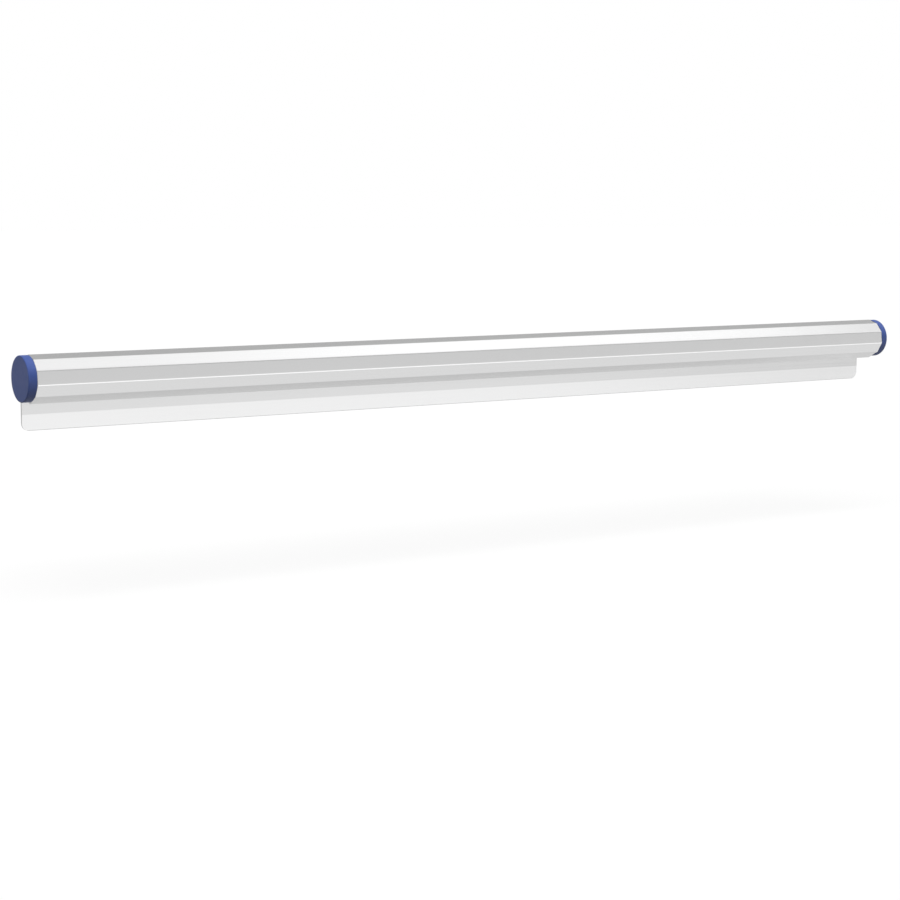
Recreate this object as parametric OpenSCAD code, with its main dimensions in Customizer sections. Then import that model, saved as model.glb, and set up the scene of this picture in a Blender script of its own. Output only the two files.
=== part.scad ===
// Wall rail that holds paper slips by their top edge.
// A faceted tube with an inward lip and a back plate are one extrusion. Loose marbles lie in the trough between
// the lip and the plate, and pinch a slip that is pushed up from below. Round caps close both ends.
// Frame in millimetres: X along the rail, +Y into the wall, +Z up.
// The origin is on the wall, at mid-length, level with the axis of the tube.

/* [Rail] */
// Length of the extruded rail
rail_len = 900; // [450:10:1200]
// Diameter of the round that all tube facets touch
tube_d = 35.5; // [34:0.5:40]
// Wall thickness of the tube and the back plate
wall_t = 1.5; // [1.2:0.1:1.8]
// Drop from the tube's axis to the bottom edge of the back plate
plate_drop = 42; // [36:1:60]
// Radius of the two bottom corners of the back plate
plate_corner_r = 6; // [2:0.5:10]
// Height of the thinned lead-in band along the bottom of the back plate
lead_in_h = 12.7; // [6:0.1:14]
// Thickness left at the bottom edge of the lead-in band
lead_in_edge_t = 0.7; // [0.6:0.1:1]

/* [Facets] */
// Tilt of the rear top facet, counted up from straight ahead, in degrees
rear_tilt = 108; // [104:1:112]
// Tilt of the top facet
top_tilt = 72; // [69:1:75]
// Tilt of the upper front facet
upper_tilt = 40.5; // [38:0.5:43]
// Tilt of the front facet
front_tilt = 5.5; // [3:0.5:8]
// Tilt of the lower front facet
lower_tilt = -31.5; // [-34:0.5:-29]
// Outside rounding of the ridges between facets
ridge_r = 1.5; // [0.5:0.1:2.5]
// Rounding of the inside corners behind the ridges
inner_ridge_r = 0.5; // [0.2:0.1:1]

/* [Lip] */
// Gap between the lip's tip and the back plate, where paper goes in
slot_w = 16; // [14:0.5:18]
// Slope of the lip, falling towards the back plate, in degrees
lip_slope = 28; // [25:1:31]

/* [Marbles] */
// Diameter of a marble
marble_d = 25; // [22:0.5:26]
// Clearance of a resting marble to the plate and to the lip
marble_clear = 0.3; // [0.2:0.1:0.5]
// Least gap between neighbouring marbles, and between the last ones and the plugs
marble_gap = 0.8; // [0.6:0.1:3]

/* [End caps] */
// Thickness of the round flange outside the tube
cap_t = 7; // [4:0.5:12]
// How far the flange stands out past the round that the facets touch
cap_proud = 0.45; // [0:0.05:0.8]
// Rounding of the flange's outer edge
cap_edge_r = 0.8; // [0.4:0.1:2]
// Length of the plug inside the tube
plug_len = 9; // [6:0.5:14]
// Wall thickness of the hollow plug
plug_wall = 2; // [1.5:0.1:3]
// Clearance of the plug and its ribs to the tube's inside
plug_clear = 0.15; // [0.1:0.05:0.3]
// Width of the ribs that key the plug into the tube's inside corners
rib_w = 1.2; // [0.8:0.1:2]

/* [Mounting tapes] */
// Thickness of the foam tapes
tape_t = 1.6; // [0.8:0.1:3]
// Width of each foam tape
tape_w = 19; // [12:1:22]
// Distance from the ends of the rail to the ends of the tapes
tape_inset = 10; // [4:1:40]
// Distance from the bottom edge of the back plate to the lower tape
lower_tape_rise = 4; // [2:1:6]

/* [Hidden] */
$fn = 64;
arc_steps = 6;
tiny_r = 0.3;

tube_r = tube_d / 2;
inside_r = tube_r - wall_t;
cap_r = tube_r + cap_proud;
axis_y = -(tube_r + tape_t);
lip_tilt = lip_slope - 90;

// Geometry of the profile, in the plane across the rail with its origin on the tube's axis.
// Each straight wall is [tilt, distance]: it faces out along its tilt, at that distance from the axis.
function out_dir(tilt) = [-cos(tilt), sin(tilt)];
function meet(a, b) =
    let (u = out_dir(a[0]), v = out_dir(b[0]), det = u[0] * v[1] - u[1] * v[0])
    [(a[1] * v[1] - b[1] * u[1]) / det, (u[0] * b[1] - v[0] * a[1]) / det];
function thinned(wall) = [wall[0], wall[1] - wall_t];

// The walls in order from the plate's back over the top to the lip, all touching the same round
tilts = [180, rear_tilt, top_tilt, upper_tilt, front_tilt, lower_tilt, lip_tilt];
last = len(tilts) - 1;
walls = [for (tilt = tilts) [tilt, tube_r]];

// A corner of an outline is [point, radius]
lip_edge = meet([180, inside_r - slot_w], thinned(walls[last]));
outer_corners = [for (i = [0:last - 1]) [meet(walls[i], walls[i + 1]), ridge_r]];
inner_corners = [for (i = [last - 1:-1:0])
    [meet(thinned(walls[i]), thinned(walls[i + 1])), inner_ridge_r]];
tip_corners = [
    [lip_edge + out_dir(lip_tilt) * wall_t, wall_t / 2 - tiny_r],
    [lip_edge, wall_t / 2 - tiny_r]];
plate_foot = [
    [[inside_r, lead_in_h - plate_drop], 0],
    [[tube_r - lead_in_edge_t, -plate_drop], tiny_r],
    [[tube_r, -plate_drop], tiny_r]];

// Points of a corner: an arc of the given radius that touches both sides, or the bare point
function unit(v) = v / norm(v);
function corner_points(before, corner, after) =
    let (p = corner[0], r = corner[1], u = unit(before - p), v = unit(after - p),
         half = acos(u * v) / 2, sweep = 180 - 2 * half,
         centre = p + unit(u + v) * r / sin(half),
         from = p + u * r / tan(half) - centre,
         to = p + v * r / tan(half) - centre)
    r == 0 ? [p] : [for (i = [0:arc_steps]) let (t = i / arc_steps)
        centre + (sin((1 - t) * sweep) * from + sin(t * sweep) * to) / sin(sweep)];
function rounded(corners) =
    let (n = len(corners))
    [for (i = [0:n - 1])
        each corner_points(corners[(i + n - 1) % n][0], corners[i], corners[(i + 1) % n][0])];

rail_outline = rounded(concat(outer_corners, tip_corners, inner_corners, plate_foot));

// A marble at rest lies clear of the plate and of the lip's upper face by the same clearance
marble_r = marble_d / 2;
seat_r = inside_r - marble_r - marble_clear;
marble_seat = meet([180, seat_r], [lip_tilt, seat_r]);
trough_len = rail_len - 2 * plug_len;
marble_count = floor((trough_len - marble_gap) / (marble_d + marble_gap));
marble_pitch = trough_len / marble_count;
function marble_x(i) = (i - (marble_count + 1) / 2) * marble_pitch;
function marble_name(i) = str("marble_", i < 10 ? "0" : "", i);

// The plug is a round ring that touches every facet, with ribs reaching into the corners between them
plug_r = inside_r - plug_clear;
rib_corners = [for (i = [1:last - 1]) [(tilts[i] + tilts[i + 1]) / 2, (tilts[i] - tilts[i + 1]) / 2]];
function rib_reach(half_turn) = (plug_r - rib_w / 2 * sin(half_turn)) / cos(half_turn);

tape_len = rail_len - 2 * tape_inset;
lower_tape_z = -plate_drop + lower_tape_rise + tape_w / 2;

// Lays a flat outline across the rail and extrudes it along X, centred on the origin
module along_rail(length) {
    rotate([90, 0, 90]) linear_extrude(height = length, center = true) children();
}

module rail_extrusion() {
    color("gainsboro")
    translate([0, axis_y, 0])
    difference() {
        along_rail(rail_len) polygon(rail_outline);
        for (side = [-1, 1]) plate_corner_cut(side);
    }
}

// What is cut from a bottom corner of the back plate to round it
module plate_corner_cut(side) {
    reach = plate_corner_r + 1;
    depth = 2 * wall_t;
    translate([side * (rail_len / 2 - plate_corner_r), tube_r - depth / 2, plate_corner_r - plate_drop])
    rotate([90, 0, 0])
    difference() {
        translate([side > 0 ? 0 : -reach, -reach, -depth / 2]) cube([reach, reach, depth]);
        cylinder(r = plate_corner_r, h = 2 * depth, center = true);
    }
}

module end_cap(side) {
    color("royalblue")
    translate([side * rail_len / 2, axis_y, 0]) {
        rotate([0, side * 90, 0]) cap_flange();
        translate([-side * plug_len / 2, 0, 0]) along_rail(plug_len) plug_section();
    }
}

// The flange outside the tube, turned with a softened outer edge
module cap_flange() {
    rotate_extrude() {
        square([cap_r, cap_t - cap_edge_r]);
        square([cap_r - cap_edge_r, cap_t]);
        translate([cap_r - cap_edge_r, cap_t - cap_edge_r]) circle(cap_edge_r);
    }
}

// The hollow plug across the rail: a ring, with ribs from the middle of its wall out into the tube's corners
module plug_section() {
    rib_root = plug_r - plug_wall / 2;
    difference() {
        circle(plug_r);
        circle(plug_r - plug_wall);
    }
    for (corner = rib_corners)
        rotate(180 - corner[0])
        translate([rib_root, -rib_w / 2])
        square([rib_reach(corner[1]) - rib_root, rib_w]);
}

module left_end_cap() end_cap(-1);
module right_end_cap() end_cap(1);

module mounting_tape(z) {
    color("dimgray")
    translate([-tape_len / 2, -tape_t, z - tape_w / 2])
    cube([tape_len, tape_t, tape_w]);
}

module upper_mounting_tape() mounting_tape(0);
module lower_mounting_tape() mounting_tape(lower_tape_z);

module marble(i) {
    color("lightseagreen", 0.6)
    translate([marble_x(i), axis_y + marble_seat[0], marble_seat[1]])
    sphere(d = marble_d);
}

rail_extrusion();
left_end_cap();
right_end_cap();
upper_mounting_tape();
lower_mounting_tape();
for (i = [1:marble_count]) marble(i);
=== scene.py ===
# %% [markdown]
# # A wall rail that grips with marbles
# The real object is one long aluminium extrusion: a faceted tube and a back plate in one piece, with a
# lip turned in under the tube. Glass marbles lie loose in the trough behind the lip and pinch whatever is
# pushed up from below. Two blue plastic caps close the ends, and foam tapes hold the plate to the wall.
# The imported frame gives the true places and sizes, so each visible piece is made where its solid is.

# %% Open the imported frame
import math

import bpy
import numpy as np
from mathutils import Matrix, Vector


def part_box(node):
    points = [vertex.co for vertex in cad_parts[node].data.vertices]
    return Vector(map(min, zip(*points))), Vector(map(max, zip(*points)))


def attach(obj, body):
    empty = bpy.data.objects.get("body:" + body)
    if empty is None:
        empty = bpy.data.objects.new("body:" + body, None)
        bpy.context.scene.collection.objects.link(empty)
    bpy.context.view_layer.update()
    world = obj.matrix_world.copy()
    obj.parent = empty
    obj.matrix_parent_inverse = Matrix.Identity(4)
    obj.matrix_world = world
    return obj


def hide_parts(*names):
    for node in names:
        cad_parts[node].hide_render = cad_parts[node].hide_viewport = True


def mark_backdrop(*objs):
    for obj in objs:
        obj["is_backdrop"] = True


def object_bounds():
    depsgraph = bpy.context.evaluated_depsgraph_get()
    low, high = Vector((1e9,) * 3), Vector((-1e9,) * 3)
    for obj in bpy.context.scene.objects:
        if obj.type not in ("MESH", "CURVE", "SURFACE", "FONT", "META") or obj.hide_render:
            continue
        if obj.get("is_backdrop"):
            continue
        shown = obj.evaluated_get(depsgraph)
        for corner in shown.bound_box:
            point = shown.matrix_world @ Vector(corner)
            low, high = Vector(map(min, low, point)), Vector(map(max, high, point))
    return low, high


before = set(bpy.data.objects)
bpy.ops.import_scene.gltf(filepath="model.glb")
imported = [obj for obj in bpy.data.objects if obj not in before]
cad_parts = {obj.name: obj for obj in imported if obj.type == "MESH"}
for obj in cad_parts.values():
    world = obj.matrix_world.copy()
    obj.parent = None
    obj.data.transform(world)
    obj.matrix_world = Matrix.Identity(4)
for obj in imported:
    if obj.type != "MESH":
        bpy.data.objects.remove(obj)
cad_low, cad_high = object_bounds()
MM = 0.001

# %% [markdown]
# ## Camera
# The photograph looks along the rail from its left end, from a little above it. A camera could be turned
# by eye until it looks right, but the rail's long straight edges fix it much better: their slopes and the
# two ends give the distance, the turn and the lens at once. The numbers below are that fit, for a square
# picture.

# %% Place the camera
PHOTO_SIDE = 900
FOCAL_PIXELS = 1982.0
SENSOR_WIDTH = 36.0
SIGHT_END = 200.0
CAMERA_PLACE = (-1.0216, -1.4575, 0.1262)
CAMERA_TURN = math.radians(33.716)
CAMERA_TIP = math.radians(6.826)


def place_camera():
    """A camera turned to the right of square-on and tipped down, whose lens gives the photograph's focal
    length."""
    lens = bpy.data.cameras.new("studio_camera")
    lens.sensor_width = SENSOR_WIDTH
    lens.lens = FOCAL_PIXELS / PHOTO_SIDE * SENSOR_WIDTH
    lens.clip_end = SIGHT_END
    camera = bpy.data.objects.new("studio_camera", lens)
    camera.location = CAMERA_PLACE
    camera.rotation_euler = (math.pi / 2 - CAMERA_TIP, 0.0, -CAMERA_TURN)
    bpy.context.scene.collection.objects.link(camera)
    bpy.context.scene.camera = camera
    return camera


bpy.context.scene.view_settings.view_transform = "Standard"
camera = place_camera()
print("camera: lens %.1f mm" % camera.data.lens)

# %% [markdown]
# ## Small helpers for node trees
# Shader trees are long to write out node by node, and hard to read back. Short helpers keep them plain:
# one adds a node with its settings and inputs, and each of the others does one small job with it, such as
# a step of arithmetic, a smooth change from one level to another, or a blend of two colours.

# %% Helpers for node trees
def add(tree, kind, settings=None, inputs=None):
    """Adds a node. An input that is given another node's output is linked to it, and any other is set."""
    made = tree.nodes.new(kind)
    for name, value in (settings or {}).items():
        setattr(made, name, value)
    for key, value in (inputs or {}).items():
        if isinstance(value, bpy.types.NodeSocket):
            tree.links.new(value, made.inputs[key])
        else:
            made.inputs[key].default_value = value
    return made


def calc(tree, operation, *terms):
    """One arithmetic step on numbers or outputs."""
    return add(tree, "ShaderNodeMath", {"operation": operation}, dict(enumerate(terms))).outputs[0]


def raised(tree, mask, base, gain):
    """A base level with a gain added to it, in proportion to a mask."""
    return calc(tree, "MULTIPLY_ADD", mask, gain, base)


def ease(tree, value, start, end, low=0.0, high=1.0):
    """Carries a level from low to high, smoothly, while a value goes from start to end."""
    made = add(tree, "ShaderNodeMapRange", {"interpolation_type": "SMOOTHSTEP"},
               {"Value": value, "From Min": start, "From Max": end, "To Min": low, "To Max": high})
    return made.outputs["Result"]


def grey(level):
    """An opaque grey of one level."""
    return (level, level, level, 1.0)


def tinted(tree, mask, plain, marked):
    """A colour between two others, by a mask."""
    mix = add(tree, "ShaderNodeMix", {"data_type": "RGBA"})
    tree.links.new(mask, mix.inputs["Factor"])
    colours = [socket for socket in mix.inputs if socket.type == "RGBA"]
    for socket, colour in zip(colours, (plain, marked)):
        socket.default_value = (*colour, 1.0)
    return [socket for socket in mix.outputs if socket.type == "RGBA"][0]


def ray_kinds(tree):
    """Two masks: the rays from the camera, and the rays from a mirror or a glass. Both are 0 for the rays
    that only carry light about."""
    rays = add(tree, "ShaderNodeLightPath").outputs
    mirrored = calc(tree, "MAXIMUM", rays["Is Glossy Ray"], rays["Is Transmission Ray"])
    return rays["Is Camera Ray"], mirrored


# %% [markdown]
# ## Studio
# Bare metal shows the room it stands in, so the studio is what gives each facet its tone. Softboxes and
# flags could be built as planes, but a surround worked out from the ray's direction is smoother and needs
# no objects. Seen along the rail it is a ring of tones: grey behind, a softbox overhead, a dark gap in
# front of it, and a bright sweep that rises from the floor. The softbox has two ends along the rail, and a
# small flag and a small glow tone the far end. Towards the left the ring is held down to a calm level
# without peaks, which falls off towards the floor. The camera itself sees plain white.

# %% Tones of the studio
RING_TOP = 2.2
RING = (
    (-180, 0.56), (-156, 0.62), (-130, 0.58), (-115, 0.56), (-98, 0.76), (-70, 0.80), (-53, 0.72),
    (-45, 1.10), (-34, 1.18), (-25, 1.36), (-15, 1.02), (-5, 0.78), (6, 0.73), (15, 0.40), (25, 0.34),
    (38, 1.06), (56, 0.80), (73, 0.99), (106, 0.93), (120, 0.52), (130, 0.44), (142, 0.48), (162, 0.62),
)
SOFTBOX_FROM, SOFTBOX_GAIN = (0.43, 0.505), 0.21
SOFTBOX_TO, SOFTBOX_DROP = (0.70, 0.74), -0.98
SOFTBOX_UP = (0.60, 0.68)
FLAG_TOWARDS, FLAG_OUTER, FLAG_GAIN = (0.74, -0.66, -0.13), 10, -0.20
GLOW_TOWARDS, GLOW_OUTER, GLOW_GAIN = (0.75, 0.41, -0.52), 7, 0.20
PATCH_INNER = 1
CALM_SIDE = (-0.25, 0.45)
CALM_RISE, CALM_FLOOR, CALM_BELOW = (-1.0, -0.1), 0.46, 0.66
CALM_STEP, CALM_ABOVE = (-0.2, 0.3), 0.96


def ring_level(tree, across, up):
    """Brightness round the rail: the direction's angle, from straight ahead over the top, is looked up on
    a ramp."""
    angle = calc(tree, "ARCTAN2", up, calc(tree, "MULTIPLY", across, -1.0))
    place = raised(tree, angle, base=0.5, gain=0.5 / math.pi)
    ramp = add(tree, "ShaderNodeValToRGB", inputs={"Fac": place})
    ramp.color_ramp.interpolation = "EASE"
    stops = ramp.color_ramp.elements
    stops.remove(stops[1])
    for index, (degrees, level) in enumerate(RING):
        position = degrees / 360 + 0.5
        stop = stops[0] if index == 0 else stops.new(position)
        stop.position = position
        stop.color = grey(level / RING_TOP)
    return calc(tree, "MULTIPLY", ramp.outputs["Color"], RING_TOP)


def round_patch(tree, direction, towards, outer):
    """1 within a small angle of one direction, falling to 0 at the outer angle, which is in degrees."""
    cosine = add(tree, "ShaderNodeVectorMath", {"operation": "DOT_PRODUCT"}, {0: direction, 1: towards})
    start, end = (math.cos(math.radians(angle)) for angle in (outer, PATCH_INNER))
    return ease(tree, cosine.outputs["Value"], start, end)


def studio_level(tree, direction):
    """What mirrors and glass see: the ring, with the softbox's ends, the flag and the glow added, and held
    down to the calm level towards the left."""
    along, across, up = add(tree, "ShaderNodeSeparateXYZ", inputs={0: direction}).outputs
    softbox = calc(tree, "ADD", ease(tree, along, *SOFTBOX_FROM, 0.0, SOFTBOX_GAIN),
                   ease(tree, along, *SOFTBOX_TO, 0.0, SOFTBOX_DROP))
    ring = raised(tree, ease(tree, up, *SOFTBOX_UP), base=ring_level(tree, across, up), gain=softbox)
    flag = round_patch(tree, direction, FLAG_TOWARDS, FLAG_OUTER)
    glow = round_patch(tree, direction, GLOW_TOWARDS, GLOW_OUTER)
    ring = raised(tree, flag, base=ring, gain=FLAG_GAIN)
    ring = raised(tree, glow, base=ring, gain=GLOW_GAIN)
    calm = ease(tree, up, *CALM_RISE, CALM_FLOOR, CALM_BELOW)
    calm = ease(tree, up, *CALM_STEP, calm, CALM_ABOVE)
    return calc(tree, "MINIMUM", ring, ease(tree, along, *CALM_SIDE, calm, RING_TOP))


print("ring: %d tones, up to %.2f" % (len(RING), max(level for degrees, level in RING)))

# %% Build the studio surround
FILL_BELOW, FILL_ABOVE = 0.20, 0.30


def build_surround():
    """The world: the studio's tones in mirrors and glass, white for the camera, and a dim fill for the rays
    that carry light."""
    world = bpy.data.worlds.new("studio_surround")
    bpy.context.scene.world = world
    world.use_nodes = True
    tree = world.node_tree
    tree.nodes.clear()
    direction = add(tree, "ShaderNodeTexCoord").outputs["Generated"]
    up = add(tree, "ShaderNodeSeparateXYZ", inputs={0: direction}).outputs["Z"]
    from_camera, mirrored = ray_kinds(tree)
    fill = ease(tree, up, -1.0, 1.0, FILL_BELOW, FILL_ABOVE)
    lit = ease(tree, mirrored, 0.0, 1.0, fill, studio_level(tree, direction))
    strength = ease(tree, from_camera, 0.0, 1.0, lit, 1.0)
    shade = add(tree, "ShaderNodeBackground", inputs={"Color": grey(1.0), "Strength": strength})
    add(tree, "ShaderNodeOutputWorld", inputs={"Surface": shade.outputs[0]})
    return world


surround = build_surround()
print("surround:", len(surround.node_tree.nodes), "nodes")

# %% [markdown]
# ## Sun and floor
# The plastic and the floor need real light. A small lamp would draw a hard shadow, so a broad sun hangs
# overhead, and mirrors don't see it. The floor is white wherever it is looked at, with just enough real
# shading for the rail's soft shadow. A plain white sheet would throw too much light up under the rail, so
# for bounced light it is dark.

# %% Hang the sun and lay the floor
SUN_FROM = (-0.08, -0.32, 0.94)
SUN_LEVEL = 0.80
SUN_ANGLE = math.radians(50)
FLOOR_DROP = 0.130
FLOOR_SIDE = 60.0
FLOOR_GLOW, FLOOR_SHADED = 0.79, 0.21
FLOOR_BOUNCE = 0.04


def hang_sun():
    """A broad sun, whose level is the brightness that it gives a white surface facing it. Mirrors see only
    the ring."""
    lamp = bpy.data.lights.new("broad_sun", "SUN")
    lamp.energy = SUN_LEVEL * math.pi
    lamp.angle = SUN_ANGLE
    sun = bpy.data.objects.new("broad_sun", lamp)
    x, y, z = SUN_FROM
    sun.rotation_euler = (math.atan2(math.hypot(x, y), z), 0.0, math.atan2(y, x) + math.pi / 2)
    sun.visible_glossy = False
    bpy.context.scene.collection.objects.link(sun)
    return sun


def floor_material():
    """White where it is seen, with a share of real shading so that the shadow shows, and dark for bounced
    light. From below it is clear, so that the slot can be looked into."""
    material = bpy.data.materials.new("pale_floor")
    material.use_nodes = True
    tree = material.node_tree
    tree.nodes.clear()
    glow = add(tree, "ShaderNodeEmission", inputs={"Strength": FLOOR_GLOW})
    shaded = add(tree, "ShaderNodeBsdfDiffuse", inputs={"Color": grey(FLOOR_SHADED)})
    white = add(tree, "ShaderNodeAddShader", inputs={0: glow.outputs[0], 1: shaded.outputs[0]})
    bounce = add(tree, "ShaderNodeBsdfDiffuse", inputs={"Color": grey(FLOOR_BOUNCE)})
    seen = calc(tree, "MAXIMUM", *ray_kinds(tree))
    above = add(tree, "ShaderNodeMixShader", inputs={0: seen, 1: bounce.outputs[0], 2: white.outputs[0]})
    clear = add(tree, "ShaderNodeBsdfTransparent")
    from_below = add(tree, "ShaderNodeNewGeometry").outputs["Backfacing"]
    sided = add(tree, "ShaderNodeMixShader",
                inputs={0: from_below, 1: above.outputs[0], 2: clear.outputs[0]})
    add(tree, "ShaderNodeOutputMaterial", inputs={"Surface": sided.outputs[0]})
    return material


def lay_floor(level):
    """A wide flat sheet at one level. The ring stands for it in mirrors, so that only its shadow is its
    own."""
    half = FLOOR_SIDE / 2
    corners = [(-half, -half, level), (half, -half, level), (half, half, level), (-half, half, level)]
    mesh = bpy.data.meshes.new("pale_floor")
    mesh.from_pydata(corners, [], [(0, 1, 2, 3)])
    mesh.materials.append(floor_material())
    floor = bpy.data.objects.new("pale_floor", mesh)
    floor.visible_glossy = False
    bpy.context.scene.collection.objects.link(floor)
    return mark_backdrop(floor)


sun = hang_sun()
lay_floor(cad_low.z - FLOOR_DROP)
print("sun: %.0f degrees wide" % math.degrees(sun.data.angle))
print("floor: %.0f mm below the plate" % (FLOOR_DROP / MM))

# %% [markdown]
# ## From numbers to meshes
# Every piece here is a grid of points worked out as whole arrays. Two ways to close a grid cover them all:
# a lathe form or a strip ends in two single points, and the rail ends in two flat cut faces. The enclosed
# volume is printed for each piece, because it comes out negative when the faces point inwards.

# %% Helpers for meshes
def unit(vectors):
    """Vectors divided by their own length."""
    return vectors / np.linalg.norm(vectors, axis=-1, keepdims=True)


def grid_quads(rows, columns):
    """Corner numbers of the quads of a grid whose last column joins its first."""
    row, column = np.meshgrid(np.arange(rows - 1), np.arange(columns), indexing="ij")
    following = (column + 1) % columns
    quads = np.stack([row * columns + column, row * columns + following,
                      (row + 1) * columns + following, (row + 1) * columns + column], axis=-1)
    return quads.reshape(-1, 4)


def poled_faces(rows, columns):
    """Quads of a grid, and triangles from its first and last rings to one extra point each, numbered after
    the grid."""
    ring = np.arange(columns)
    after = (ring + 1) % columns
    last = (rows - 1) * columns
    first_pole = np.full(columns, rows * columns)
    first_fan = np.stack([first_pole, after, ring], axis=-1)
    last_fan = np.stack([first_pole + 1, last + ring, last + after], axis=-1)
    return grid_quads(rows, columns), np.vstack([first_fan, last_fan])


def enclosed_volume(points, faces):
    """Volume inside a closed mesh: the sum of the tetrahedra from the origin to each triangle of its
    faces."""
    corners = [points[faces[:, k]] for k in range(faces.shape[1])]
    fans = [np.einsum("ij,ij->i", corners[0], np.cross(second, third))
            for second, third in zip(corners[1:-1], corners[2:])]
    return float(sum(fan.sum() for fan in fans) / 6)


def put_in_scene(name, points, face_sets, materials):
    """Makes an object from points and sets of faces, where each set takes the material of its own
    number."""
    mesh = bpy.data.meshes.new(name)
    faces = [face for face_set in face_sets for face in face_set.tolist()]
    mesh.from_pydata(points.tolist(), [], faces)
    slots = np.repeat(np.arange(len(face_sets)), [len(face_set) for face_set in face_sets])
    mesh.polygons.foreach_set("material_index", slots.astype(np.int32))
    mesh.polygons.foreach_set("use_smooth", np.ones(len(faces), dtype=bool))
    for material in materials:
        mesh.materials.append(material)
    piece = bpy.data.objects.new(name, mesh)
    bpy.context.scene.collection.objects.link(piece)
    volume = sum(enclosed_volume(points, face_set) for face_set in face_sets)
    print("%s: %d faces, %.2f cm3" % (name, len(faces), volume * 1e6))
    return piece


# %% [markdown]
# ## Rounded outlines
# No made edge is quite sharp. Blender's bevel could round them afterwards, but then the points fall where
# it likes. Here each corner of an outline is an arc from the start. Two points close to the ends of every
# straight side keep its shading flat, because smooth shading then only bends over the arc.

# %% Helpers for outlines
def rounded_corners(before, corners, after, radius, steps):
    """Arcs in place of corners. An arc touches each side at radius / tan(half the corner's angle) from the
    corner, and its points are weighted sums of those two places, by the sines of the turn that is done and
    of what is left."""
    to_before, to_after = unit(before - corners), unit(after - corners)
    half = np.arccos(np.clip((to_before * to_after).sum(-1), -1, 1)) / 2
    reach = (radius / np.tan(half))[:, None]
    centre = corners + unit(to_before + to_after) * (radius / np.sin(half))[:, None]
    start, end = corners + to_before * reach - centre, corners + to_after * reach - centre
    turn = (math.pi - 2 * half)[:, None, None]
    done = np.linspace(0, 1, steps + 1)[None, :, None]
    weighted = np.sin((1 - done) * turn) * start[:, None] + np.sin(done * turn) * end[:, None]
    return centre[:, None] + weighted / np.sin(turn)


def with_sides(arcs, next_arcs, shares):
    """Arcs, each followed by points at the given shares of the straight side that leads to the next."""
    start, end = arcs[:, -1:], next_arcs[:, :1]
    sides = start + (end - start) * np.array(shares)[:, None]
    return np.concatenate([arcs, sides], axis=1).reshape(-1, 2)


# %% [markdown]
# ## Effects that several finishes share
# Three effects turn up on more than one surface, so each is a node group that is built once: lines drawn
# along the rail, fine pits, and the soft cloudiness that handling leaves. Groups give out plain masks and
# heights, and each material decides what they do.

# %% Shared effect groups
LINE_BAND, RIM_BAND = (0.3, 0.7), (0.35, 0.75)
CLOUD_BAND, WISP_BAND = (0.35, 0.65), (0.3, 0.7)
WISPS_PER_CLOUD = 7.0


def new_group(name, inputs, outputs):
    """An empty shader group with named number inputs, given with their defaults, and named number
    outputs."""
    group = bpy.data.node_groups.new(name, "ShaderNodeTree")
    for label, default in inputs.items():
        socket = group.interface.new_socket(label, in_out="INPUT", socket_type="NodeSocketFloat")
        socket.default_value = default
    for label in outputs:
        group.interface.new_socket(label, in_out="OUTPUT", socket_type="NodeSocketFloat")
    return group, add(group, "NodeGroupInput").outputs, add(group, "NodeGroupOutput").inputs


def object_place(tree, along=1.0, across=1.0):
    """The object's own coordinates, in metres, with separate scales along the rail and across it."""
    place = add(tree, "ShaderNodeTexCoord").outputs["Object"]
    scale = add(tree, "ShaderNodeCombineXYZ", inputs={"X": along, "Y": across, "Z": across}).outputs[0]
    product = add(tree, "ShaderNodeVectorMath", {"operation": "MULTIPLY"}, {0: place, 1: scale})
    return product.outputs["Vector"]


def drawn_lines_group():
    """Noise that is stretched along the rail, as a die or a coating blade leaves it: Height and Mask are
    the same lines, with Height centred on zero."""
    group, given, out = new_group("drawn_lines", {"Lines": 900.0, "Run": 3.0}, ("Height", "Mask"))
    place = object_place(group, given["Run"], given["Lines"])
    noise = add(group, "ShaderNodeTexNoise",
                inputs={"Vector": place, "Scale": 1.0, "Detail": 3.0, "Roughness": 0.6})
    group.links.new(calc(group, "SUBTRACT", noise.outputs["Fac"], 0.5), out["Height"])
    group.links.new(ease(group, noise.outputs["Fac"], *LINE_BAND), out["Mask"])
    return group


def fine_pits_group():
    """Cells of a Voronoi pattern, each a small bowl: Height falls from the cell's rim to its middle, and
    Mask is the rims alone."""
    group, given, out = new_group("fine_pits", {"Cells": 1500.0}, ("Height", "Mask"))
    cells = add(group, "ShaderNodeTexVoronoi",
                inputs={"Vector": object_place(group), "Scale": given["Cells"], "Randomness": 1.0})
    group.links.new(cells.outputs["Distance"], out["Height"])
    group.links.new(ease(group, cells.outputs["Distance"], *RIM_BAND), out["Mask"])
    return group


def handled_group():
    """Soft clouds of two sizes multiplied together, as wiping and handling leave on a clean surface."""
    group, given, out = new_group("handled", {"Patches": 9.0}, ("Mask",))
    place = object_place(group)
    wisps = calc(group, "MULTIPLY", given["Patches"], WISPS_PER_CLOUD)
    broad = add(group, "ShaderNodeTexNoise",
                inputs={"Vector": place, "Scale": given["Patches"], "Detail": 2.0})
    fine = add(group, "ShaderNodeTexNoise", inputs={"Vector": place, "Scale": wisps, "Detail": 4.0})
    clouds = calc(group, "MULTIPLY", ease(group, broad.outputs["Fac"], *CLOUD_BAND),
                  ease(group, fine.outputs["Fac"], *WISP_BAND))
    group.links.new(clouds, out["Mask"])
    return group


DRAWN_LINES, FINE_PITS, HANDLED = drawn_lines_group(), fine_pits_group(), handled_group()
print("groups:", ", ".join(group.name for group in (DRAWN_LINES, FINE_PITS, HANDLED)))


# %% Helpers for finishes
def effect(tree, group, **inputs):
    """Places a shared group in a material, with its own values, and returns its outputs."""
    return add(tree, "ShaderNodeGroup", {"node_tree": group}, inputs).outputs


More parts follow.
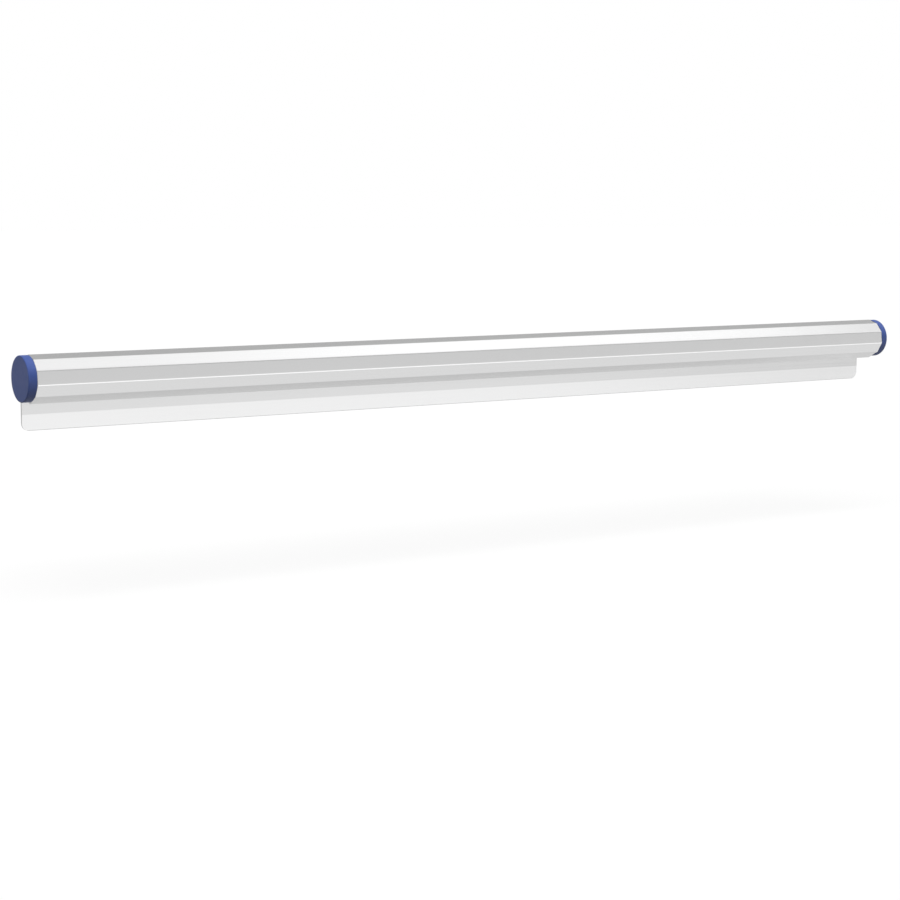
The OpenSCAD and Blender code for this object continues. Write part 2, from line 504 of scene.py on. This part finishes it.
def bumped(tree, height, depth):
    """A normal bent by a height, where depth is how far a height of 1 stands up, in metres."""
    bump = add(tree, "ShaderNodeBump", inputs={"Strength": 1.0, "Distance": depth, "Height": height})
    return bump.outputs["Normal"]


def finish_material(name, **constants):
    """A new material with one Principled shader, whose named sockets are set to constant values."""
    material = bpy.data.materials.new(name)
    material.use_nodes = True
    tree = material.node_tree
    tree.nodes.clear()
    shader = add(tree, "ShaderNodeBsdfPrincipled",
                 inputs={label.replace("_", " "): value for label, value in constants.items()})
    add(tree, "ShaderNodeOutputMaterial", inputs={"Surface": shader.outputs[0]})
    return material, tree, shader.inputs


def dress(tree, sockets, **outputs):
    """Links outputs to the shader's sockets of the same names."""
    for label, output in outputs.items():
        tree.links.new(output, sockets[label.replace("_", " ")])


# %% [markdown]
# ## Finishes of the rail
# The rail is satin anodised aluminium: a clean pale metal, softly glossy, with the faintest lines along it
# from the die. A brushed texture would be far too coarse. The lines here only change the roughness a little
# and stand up by less than a micron. The sawn ends and the plate's rounded foot take a pitted bare finish
# in darker greys. Where the extrusion was sawn off and wiped with a file it is rougher and a shade darker,
# partly the filing and partly painted shade for the dimmer surround those cut faces mirror. The foot is
# darker still: a painted shade line, which shows as a thin line along the plate's bottom edge.

# %% Aluminium finishes
def satin_aluminium():
    """Bright metal whose roughness follows the die lines and, more softly, the handling."""
    material, tree, sockets = finish_material("satin_aluminium", Metallic=1.0)
    lines = effect(tree, DRAWN_LINES, Lines=1100.0, Run=2.5)
    clouds = effect(tree, HANDLED, Patches=8.0)
    colour = tinted(tree, lines["Mask"], plain=(0.875, 0.876, 0.878), marked=(0.890, 0.890, 0.890))
    worn = raised(tree, clouds["Mask"], base=0.19, gain=0.03)
    dress(tree, sockets, Base_Color=colour,
          Roughness=raised(tree, lines["Mask"], base=worn, gain=0.03),
          Normal=bumped(tree, lines["Height"], depth=0.0006 * MM))
    return material


def bare_and_shaded_aluminium(name, pitted, smooth):
    """Metal without its satin film, with small pits such as a saw leaves, in a darker grey that carries
    painted
    shade: pitted and smooth are grey levels."""
    material, tree, sockets = finish_material(name, Metallic=1.0)
    pits = effect(tree, FINE_PITS, Cells=2600.0)
    colour = tinted(tree, pits["Mask"], plain=(pitted,) * 3, marked=(smooth,) * 3)
    dress(tree, sockets, Base_Color=colour,
          Roughness=raised(tree, pits["Mask"], base=0.22, gain=0.08),
          Normal=bumped(tree, pits["Height"], depth=0.002 * MM))
    return material


SATIN = satin_aluminium()
# The sawn ends: a rougher, pitted finish, whose darker grey is partly painted shade.
SAWN_AND_SHADED = bare_and_shaded_aluminium("sawn_and_shaded_aluminium", pitted=0.68, smooth=0.72)
# The plate's foot: its dark grey is a painted shade line along the bottom edge.
FOOT_SHADE_LINE = bare_and_shaded_aluminium("foot_shade_line_aluminium", pitted=0.25, smooth=0.30)
print("finishes:", ", ".join(material.name for material in (SATIN, SAWN_AND_SHADED, FOOT_SHADE_LINE)))

# %% [markdown]
# ## Rail extrusion
# An extrusion is one outline pushed through a die, so it is modelled the same way: the outline is worked
# out once and carried along the rail. All the tube's facets touch one round, and so each facet is known by
# its tilt alone. The ridges between them are eased a little more than on the solid, because their light
# and dark lines are that wide in the photograph. Both sides of the wall have as many points as each other,
# and this makes the sawn end a simple strip between them.

# %% Sizes of the extrusion
rail_low, rail_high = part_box("rail_extrusion")
cap_low, cap_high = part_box("left_end_cap")
half_len = rail_high.x
axis_y = (cap_high.y + cap_low.y) / 2
tube_r = rail_high.y - axis_y
plate_drop = -rail_low.z
WALL_T = 1.5 * MM
inside_r = tube_r - WALL_T
FACET_TILTS = np.array([180, 108, 72, 40.5, 5.5, -31.5])
LIP_SLOPE = 28
SLOT_W = 16 * MM
RIDGE_R, INNER_RIDGE_R = 2.4 * MM, 0.5 * MM
TIP_R, FOOT_R = 0.45 * MM, 0.3 * MM
LEAD_IN_H, LEAD_IN_EDGE_T = 12.7 * MM, 0.7 * MM
PLATE_CORNER_R = 6 * MM
wall_tilts = np.append(FACET_TILTS, LIP_SLOPE - 90)
print("tube: %.1f mm round, %.0f mm long" % (2 * tube_r / MM, 2 * half_len / MM))

# %% Work out the outline
ARC_STEPS = 8
NEAR_ENDS = (0.04, 0.96)
CORNER_TURNS = np.radians(np.linspace(70, 0, 9))
CREASE_REACH = 0.3 * MM
PLATE_TOP = -0.5 * tube_r


def facing(tilt):
    """The direction that a wall faces, across the rail: straight ahead for a tilt of 0, and up for 90."""
    angle = np.radians(tilt)
    return np.stack([-np.cos(angle), np.sin(angle)], axis=-1)


def wall_bends(tilts, distance):
    """The corners between neighbouring walls, where every wall has the same distance from the tube's axis.
    A corner is the one point whose distances along both walls' directions are that distance."""
    out = facing(tilts)
    pairs = np.stack([out[:-1], out[1:]], axis=1)
    return np.linalg.solve(pairs, np.full((len(tilts) - 1, 2, 1), distance))[..., 0]


def plate_heights():
    """Heights up the plate at which the outline has points: even turns of the rounded bottom corner, and
    close on either side of the crease above the lead-in."""
    corner = PLATE_CORNER_R * (1 - np.sin(CORNER_TURNS)) - plate_drop
    crease = LEAD_IN_H - plate_drop + np.array([-1, 0, 1]) * CREASE_REACH
    return np.concatenate([corner, crease, [PLATE_TOP]])


def plate_thickness(height):
    """The plate's thickness: it grows evenly over the lead-in, from its bottom edge, and stays the wall's
    above it."""
    share = np.clip((height + plate_drop) / LEAD_IN_H, 0, 1)
    return LEAD_IN_EDGE_T + (WALL_T - LEAD_IN_EDGE_T) * share


def wall_side(foot, plate, bends, tip, across_foot, across_tip, bend_r):
    """One side of the wall, from the plate's foot over the tube to the lip's tip: arcs at the corners, the
    given points up the plate, and two points on each facet close to its ends."""
    corners = np.vstack([foot, bends, tip])
    before = np.vstack([across_foot, plate[-1], bends])
    after = np.vstack([plate[0], bends[1:], tip, across_tip])
    radius = np.concatenate([[FOOT_R], np.full(len(bends), bend_r), [TIP_R]])
    arcs = rounded_corners(before, corners, after, radius, ARC_STEPS)
    return np.vstack([arcs[0], plate, with_sides(arcs[1:-1], arcs[2:], NEAR_ENDS), arcs[-1]])


def rail_outline():
    """Both sides of the wall across the rail, measured from the tube's axis, point for point."""
    heights = plate_heights()
    back = np.stack([np.full_like(heights, tube_r), heights], axis=-1)
    front = np.stack([tube_r - plate_thickness(heights), heights], axis=-1)
    back_foot = np.array([tube_r, -plate_drop])
    front_foot = np.array([tube_r - LEAD_IN_EDGE_T, -plate_drop])
    lip_out = facing(wall_tilts[-1])
    edge_across = inside_r - SLOT_W
    edge = np.array([edge_across, (inside_r - lip_out[0] * edge_across) / lip_out[1]])
    tip = edge + lip_out * WALL_T
    outer_bends, inner_bends = wall_bends(wall_tilts, tube_r), wall_bends(wall_tilts, inside_r)
    outer = wall_side(back_foot, back, outer_bends, tip, front_foot, edge, RIDGE_R)
    inner = wall_side(front_foot, front, inner_bends, edge, back_foot, tip, INNER_RIDGE_R)
    return outer, inner


outer_side, inner_side = rail_outline()
print("outline: %d points a side" % len(outer_side))
print("lip: tip %.1f mm below the axis" % (-outer_side[-1, 1] / MM))

# %% [markdown]
# ## Along the rail
# A saw leaves a sharp edge and a file takes it off. A bevel would do the same, but here the outline itself
# draws in over the last stations, and those thin rounded edges catch the light as in the photograph. The
# plate's two bottom corners are round, so near the ends its lowest points stand back.

# %% Carry the outline along the rail
EASED_SHARE, EASED_STEPS = 0.3, 5
END_ZONE = 24 * MM
NEAR_END_GAPS = np.array([16, 8, 3, 0.6]) * MM
EVEN_STATIONS = 31


def outward(loop):
    """Directions out of a closed outline that runs anticlockwise: the mean of the two edges at a point,
    turned a quarter turn to the right."""
    edges = unit(np.roll(loop, -1, axis=0) - loop)
    along = unit(edges + np.roll(edges, 1, axis=0))
    return np.stack([along[:, 1], -along[:, 0]], axis=-1)


def corner_recess(height):
    """How far the plate's rounded bottom corners stand back from the rail's end, by the circle's own
    equation."""
    rise = np.clip(PLATE_CORNER_R - plate_drop - height, 0, PLATE_CORNER_R)
    return PLATE_CORNER_R - np.sqrt(PLATE_CORNER_R**2 - rise**2)


def rail_stations():
    """Places along the rail, each with its turn of the eased edge: even steps over the middle, closer ones
    near the ends, and at each end itself a station for every step of a quarter turn."""
    turn = np.radians(np.linspace(0, 90, EASED_STEPS + 1))
    at_end = np.full_like(turn, half_len)
    near_end = half_len - NEAR_END_GAPS
    spaced = np.linspace(-1, 1, EVEN_STATIONS) * (half_len - END_ZONE)
    between = np.concatenate([-near_end[::-1], spaced, near_end])
    stations = np.concatenate([-at_end, between, at_end])
    return stations, np.concatenate([turn[::-1], np.zeros_like(between), turn])


def rail_grid(loop):
    """The outline at every station. At the ends it draws in and stands back along a quarter circle, so the
    cut's edges are eased, and the plate's corners stand back by their own recess."""
    stations, turns = rail_stations()
    at_end = np.isclose(np.abs(stations), half_len)
    eased = EASED_SHARE * plate_thickness(loop[:, 1])
    drawn_in = (1 - np.cos(turns))[:, None] * eased
    short = (at_end * (1 - np.sin(turns)))[:, None] * eased
    near = np.clip((np.abs(stations) - half_len) / END_ZONE + 1, 0, 1)
    short = short + (near * near * (3 - 2 * near))[:, None] * corner_recess(loop[:, 1])
    x = stations[:, None] - np.sign(stations)[:, None] * short
    across = loop[None] - drawn_in[..., None] * outward(loop)[None]
    return np.concatenate([x[..., None], across + np.array([axis_y, 0.0])], axis=-1)


rail_points = rail_grid(np.vstack([outer_side, inner_side[::-1]]))
print("rail: %d stations of %d points" % rail_points.shape[:2])


# %% Make the rail
def end_strip(side_points, first):
    """Quads between the wall's two sides on one cut end, where first is the number of the end's first
    point."""
    one = np.arange(side_points - 1)
    other = 2 * side_points - 1 - one
    return first + np.stack([one, one + 1, other - 1, other], axis=-1)


def bare_and_shaded_edges(rows, columns):
    """Which quads lie on the eased rows at both ends, and which on the rounded foot of the plate, where the
    outline starts and ends."""
    row, column = np.divmod(np.arange((rows - 1) * columns), columns)
    foot = (column < ARC_STEPS) | (columns - 1 - column <= ARC_STEPS)
    eased = np.minimum(row, rows - 2 - row) < EASED_STEPS
    return eased & ~foot, foot


def make_rail(grid):
    """The extrusion: its outline along the stations, and a strip on each sawn end."""
    rows, columns = grid.shape[:2]
    right_end = end_strip(columns // 2, (rows - 1) * columns)
    left_end = end_strip(columns // 2, 0)[:, ::-1]
    quads = grid_quads(rows, columns)
    eased, foot = bare_and_shaded_edges(rows, columns)
    # The eased rows and end strips get the sawn finish, partly painted shade, and the foot the painted
    # shade line.
    face_sets = [quads[~(eased | foot)], np.vstack([quads[eased], left_end, right_end]), quads[foot]]
    rail = put_in_scene("rail_profile", grid.reshape(-1, 3), face_sets, [SATIN, SAWN_AND_SHADED, FOOT_SHADE_LINE])
    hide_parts("rail_extrusion")
    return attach(rail, "rail")


make_rail(rail_points)

# %% [markdown]
# ## End caps
# Each cap is one plastic moulding: a thick round flange with a soft edge and a hollow plug that pushes into
# the tube. Ribs on the plug reach into the corners between facets, so the cap can't turn. It is turned on a
# lathe here, as a profile carried round the axis, and the ribs are a bump on the plug's radius over their
# own angles.

# %% Blue plastic
def blue_plastic():
    """Deep blue plastic with a fine matt mould texture, a little paler where it is rubbed."""
    material, tree, sockets = finish_material("blue_cap_plastic", IOR=1.68)
    pits = effect(tree, FINE_PITS, Cells=2200.0)
    clouds = effect(tree, HANDLED, Patches=30.0)
    colour = tinted(tree, clouds["Mask"], plain=(0.044, 0.094, 0.355), marked=(0.050, 0.101, 0.368))
    matt = raised(tree, clouds["Mask"], base=0.50, gain=-0.06)
    dress(tree, sockets, Base_Color=colour,
          Roughness=raised(tree, pits["Mask"], base=matt, gain=0.05),
          Normal=bumped(tree, pits["Height"], depth=0.012 * MM))
    return material


BLUE = blue_plastic()
print("finish:", BLUE.name)

# %% Work out the cap's profile
CAP_EDGE_R, CAP_BACK_R = 0.8 * MM, 0.15 * MM
PLUG_LEN, PLUG_WALL, PLUG_CLEAR = 9 * MM, 2 * MM, 0.15 * MM
PLUG_LEAD = 0.5 * MM
CAP_ARC_STEPS = 6
CAP_NEAR_ENDS = (0.03, 0.97)
FACE_SHARES, FLOOR_SHARES = np.array([0.3, 0.7, 0.94]), np.array([0.9, 0.4])
cap_t = rail_low.x - cap_low.x
cap_r = (cap_high.z - cap_low.z) / 2
plug_r = inside_r - PLUG_CLEAR


def cap_profile():
    """The cap's half section as (distance out from the rail's end, radius), from the middle of the outer
    face, round the flange and the plug, to the middle of the plug's floor. Corners are arcs."""
    bore = plug_r - PLUG_WALL
    corners = np.array([[cap_t, cap_r], [0, cap_r], [0, plug_r], [-PLUG_LEN, plug_r - PLUG_LEAD],
                        [-PLUG_LEN, bore], [0, bore]])
    radius = np.array([CAP_EDGE_R, CAP_BACK_R, CAP_BACK_R, CAP_EDGE_R, CAP_BACK_R, CAP_EDGE_R])
    before = np.vstack([[cap_t, 0], corners[:-1]])
    after = np.vstack([corners[1:], [0, 0]])
    arcs = rounded_corners(before, corners, after, radius, CAP_ARC_STEPS)
    face = np.stack([np.full_like(FACE_SHARES, cap_t), cap_r * FACE_SHARES], axis=-1)
    plug_floor = np.stack([np.zeros_like(FLOOR_SHARES), bore * FLOOR_SHARES], axis=-1)
    return np.vstack([face, with_sides(arcs[:-1], arcs[1:], CAP_NEAR_ENDS), arcs[-1], plug_floor])


profile = cap_profile()
print("cap: flange %.1f mm across and %.1f mm thick" % (2 * cap_r / MM, cap_t / MM))

# %% Turn the end caps
RIB_W, RIB_FLANK = 1.2 * MM, 0.06 * MM
RIB_LEAD_SHARE = 0.9
CAP_COLUMNS = 144
rib_tilts = (wall_tilts[1:-1] + wall_tilts[2:]) / 2
rib_half_turns = np.radians((wall_tilts[1:-1] - wall_tilts[2:]) / 2)


def rib_bump(angles):
    """How far the ribs stand out of the plug at each angle: each rises over its own width, with short steep
    flanks, to the corner between two facets."""
    rise = (plug_r - RIB_W / 2 * np.sin(rib_half_turns)) / np.cos(rib_half_turns) - plug_r
    off = np.abs(np.radians((angles[:, None] - rib_tilts + 180) % 360 - 180)) * plug_r
    return (np.clip((RIB_W / 2 + RIB_FLANK - off) / RIB_FLANK, 0, 1) * rise).sum(-1)


def cap_angles():
    """Angles round the cap: evenly spaced, with extra ones at both flanks of every rib."""
    flank = np.degrees(np.array([RIB_W / 2, RIB_W / 2 + RIB_FLANK]) / plug_r)
    at_ribs = rib_tilts[:, None] + np.concatenate([-flank, flank])
    even = np.linspace(-180, 180, CAP_COLUMNS, endpoint=False)
    return np.unique(np.concatenate([even, at_ribs.ravel()]))


def make_cap(name, node, side):
    """One cap: its profile carried round the tube's axis, and turned to its own end of the rail. The angles
    run the other way at the right end, so that faces point outwards at both."""
    angles = cap_angles()
    ribbed = (profile[:, 0] < -CAP_BACK_R) & (profile[:, 1] > plug_r - RIB_LEAD_SHARE * PLUG_LEAD)
    radius = (profile[:, 1:] + ribbed[:, None] * rib_bump(angles))[:, ::-side]
    out = facing(angles)[::-side]
    x = side * (half_len + profile[:, 0])
    across = radius[..., None] * out[None] + np.array([axis_y, 0.0])
    grid = np.concatenate([np.broadcast_to(x[:, None, None], (*radius.shape, 1)), across], axis=-1)
    poles = np.array([[side * (half_len + cap_t), axis_y, 0.0], [side * half_len, axis_y, 0.0]])
    points = np.vstack([grid.reshape(-1, 3), poles])
    cap = put_in_scene(name, points, list(poled_faces(*radius.shape)), [BLUE, BLUE])
    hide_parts(node)
    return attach(cap, "rail")


make_cap("left_cap", "left_end_cap", side=-1)
make_cap("right_cap", "right_end_cap", side=1)

# %% [markdown]
# ## Mounting tapes
# Two strips of closed-cell foam with an adhesive skin hold the plate to the wall. Foam is soft, so its
# edges are rounded and never quite straight. A box would look like a plank. Here a rounded section is
# carried along the strip, and its sides wander by a few hundredths of a millimetre.

# %% Foam and adhesive
def foam_finish():
    """Dark foam: open cells on its cut sides, and no gloss."""
    material, tree, sockets = finish_material("foam_tape")
    pits = effect(tree, FINE_PITS, Cells=3200.0)
    clouds = effect(tree, HANDLED, Patches=40.0)
    colour = tinted(tree, pits["Mask"], plain=(0.055, 0.055, 0.058), marked=(0.125, 0.125, 0.130))
    dress(tree, sockets, Base_Color=colour,
          Roughness=raised(tree, clouds["Mask"], base=0.8, gain=0.1),
          Normal=bumped(tree, pits["Height"], depth=0.08 * MM))
    return material


def adhesive_finish():
    """The adhesive skin: darker and shinier than the foam, with lines from the coating blade."""
    material, tree, sockets = finish_material("tape_adhesive", Coat_Weight=0.25, Coat_Roughness=0.2)
    lines = effect(tree, DRAWN_LINES, Lines=260.0, Run=6.0)
    clouds = effect(tree, HANDLED, Patches=25.0)
    colour = tinted(tree, clouds["Mask"], plain=(0.060, 0.060, 0.063), marked=(0.095, 0.095, 0.098))
    dress(tree, sockets, Base_Color=colour,
          Roughness=raised(tree, lines["Mask"], base=0.42, gain=0.15),
          Normal=bumped(tree, lines["Height"], depth=0.03 * MM))
    return material


FOAM, ADHESIVE = foam_finish(), adhesive_finish()
print("finishes:", FOAM.name, "and", ADHESIVE.name)

# %% Lay the mounting tapes
TAPE_EDGE_R, TAPE_ARC_STEPS = 0.25 * MM, 4
TAPE_SIDE_SHARES = (0.02, 0.5, 0.98)
STATION_SHARES = np.concatenate([[0, 0.0002], np.linspace(0.001, 0.999, 141), [0.9998, 1]])
SIDE_WANDER = 0.07 * MM
SLOW_WAVE, QUICK_WAVE = 19, 67
END_DRAW = 0.97
BROAD_RATIO = 4


def strip_section(width, thickness):
    """A rounded rectangle across the strip, anticlockwise from its lower back corner, with points near the
    ends and in the middle of every side."""
    y, z = thickness / 2, width / 2
    corners = np.array([[y, -z], [y, z], [-y, z], [-y, -z]])
    before, after = np.roll(corners, 1, axis=0), np.roll(corners, -1, axis=0)
    arcs = rounded_corners(before, corners, after, np.full(len(corners), TAPE_EDGE_R), TAPE_ARC_STEPS)
    return with_sides(arcs, np.roll(arcs, -1, axis=0), TAPE_SIDE_SHARES)


def strip_grid(low, high, phase):
    """The section at stations along the strip. Its height is moved by two slow waves that differ between
    its two sides, and the last station at each end is drawn in to ease the cut."""
    section = strip_section(high[2] - low[2], high[1] - low[1])
    x = low[0] + (high[0] - low[0]) * STATION_SHARES
    slow = np.sin(SLOW_WAVE * STATION_SHARES + phase)[:, None]
    quick = np.sin(QUICK_WAVE * STATION_SHARES - phase)[:, None]
    wave = slow + quick * np.sign(section[:, 1])
    drawn = np.ones_like(STATION_SHARES)
    drawn[[0, -1]] = END_DRAW
    across = section[None] * drawn[:, None, None] + np.array([low[1] + high[1], low[2] + high[2]]) / 2
    across[..., 1] += SIDE_WANDER / 2 * wave
    return np.concatenate([np.broadcast_to(x[:, None, None], (*wave.shape, 1)), across], axis=-1)


def make_tape(name, node, phase):
    """One strip in its solid's own box: foam on its sides and ends, and adhesive on its two broad faces,
    which are the quads that face the wall or the plate."""
    low, high = (np.array(corner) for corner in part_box(node))
    grid = strip_grid(low, high, phase)
    quads, fans = poled_faces(*grid.shape[:2])
    points = np.vstack([grid.reshape(-1, 3), grid[0].mean(0), grid[-1].mean(0)])
    corners = points[quads]
    flat = np.abs(np.cross(corners[:, 1] - corners[:, 0], corners[:, 3] - corners[:, 0]))
    broad = flat[:, 1] > BROAD_RATIO * flat[:, 2]
    strip = put_in_scene(name, points, [quads[~broad], quads[broad], fans], [FOAM, ADHESIVE, FOAM])
    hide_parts(node)
    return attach(strip, "rail")


make_tape("upper_foam_strip", "upper_mounting_tape", phase=0.4)
make_tape("lower_foam_strip", "lower_mounting_tape", phase=2.1)

# %% [markdown]
# ## Marbles
# The marbles are machine-made glass: not quite round, with a small scar at each end where the gob of glass
# was cut. A perfect sphere would do for most views, but the scar and the slight oval are cheap to give,
# because both are a small change of the radius with the angle. Each marble lies turned its own way, and
# rides on its own body.

# %% Glass
def marble_glass():
    """Clear glass with a breath of green, whose polish is dulled a little by handling."""
    material, tree, sockets = finish_material("marble_glass", IOR=1.52, Transmission_Weight=1.0)
    clouds = effect(tree, HANDLED, Patches=60.0)
    colour = tinted(tree, clouds["Mask"], plain=(0.72, 0.86, 0.84), marked=(0.68, 0.84, 0.81))
    dress(tree, sockets, Base_Color=colour,
          Roughness=raised(tree, clouds["Mask"], base=0.02, gain=0.05))
    return material


GLASS = marble_glass()
print("finish:", GLASS.name)

# %% Roll the marbles in
MARBLE_RINGS, MARBLE_COLUMNS = 30, 40
OVAL_SHARE = 0.0016
SCAR_DEPTH = 0.05 * MM
SCAR_REACH, SCAR_WIND = 0.22, 9
MARBLE_SEED = 34


def marble_shape(radius):
    """A sphere about the origin: rings from pole to pole, a slight oval round them, and a shallow scar at
    both poles that winds with the angle. Returns the grid and the two poles."""
    fall = np.linspace(0, math.pi, MARBLE_RINGS + 2)[1:-1, None]
    turn = np.linspace(0, 2 * math.pi, MARBLE_COLUMNS, endpoint=False)[None]
    winding = 0.5 + 0.5 * np.cos(turn + SCAR_WIND * np.sin(fall))
    scar = np.exp(-(np.sin(fall) / SCAR_REACH) ** 2) * winding
    oval = OVAL_SHARE * (0.5 - 0.5 * np.cos(2 * turn)) * np.sin(fall)
    size = radius * (1 - oval) - SCAR_DEPTH * scar
    grid = np.stack([size * np.sin(fall) * np.cos(turn), size * np.sin(fall) * np.sin(turn),
                     size * np.cos(fall) * np.ones_like(turn)], axis=-1)
    poles = np.array([[0, 0, radius - SCAR_DEPTH / 2], [0, 0, SCAR_DEPTH / 2 - radius]])
    return grid, poles


def turned(points, spin, lean):
    """Points turned about Z by spin, and then about X by lean."""
    about_z = np.array([[np.cos(spin), -np.sin(spin), 0], [np.sin(spin), np.cos(spin), 0], [0, 0, 1]])
    about_x = np.array([[1, 0, 0], [0, np.cos(lean), -np.sin(lean)], [0, np.sin(lean), np.cos(lean)]])
    return points @ (about_x @ about_z).T


def make_marble(node, draw):
    """One marble in its solid's own box, turned at random."""
    low, high = (np.array(corner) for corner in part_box(node))
    grid, poles = marble_shape((high - low).max() / 2)
    points = np.vstack([grid.reshape(-1, 3), poles])
    points = turned(points, *draw.uniform(0, 2 * math.pi, 2)) + (low + high) / 2
    face_sets = list(poled_faces(MARBLE_RINGS, MARBLE_COLUMNS))
    marble = put_in_scene("glass_" + node, points, face_sets, [GLASS, GLASS])
    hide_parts(node)
    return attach(marble, node)


draw = np.random.default_rng(MARBLE_SEED)
marbles = [make_marble(node, draw) for node in sorted(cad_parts) if node.startswith("marble_")]
print("marbles:", len(marbles))
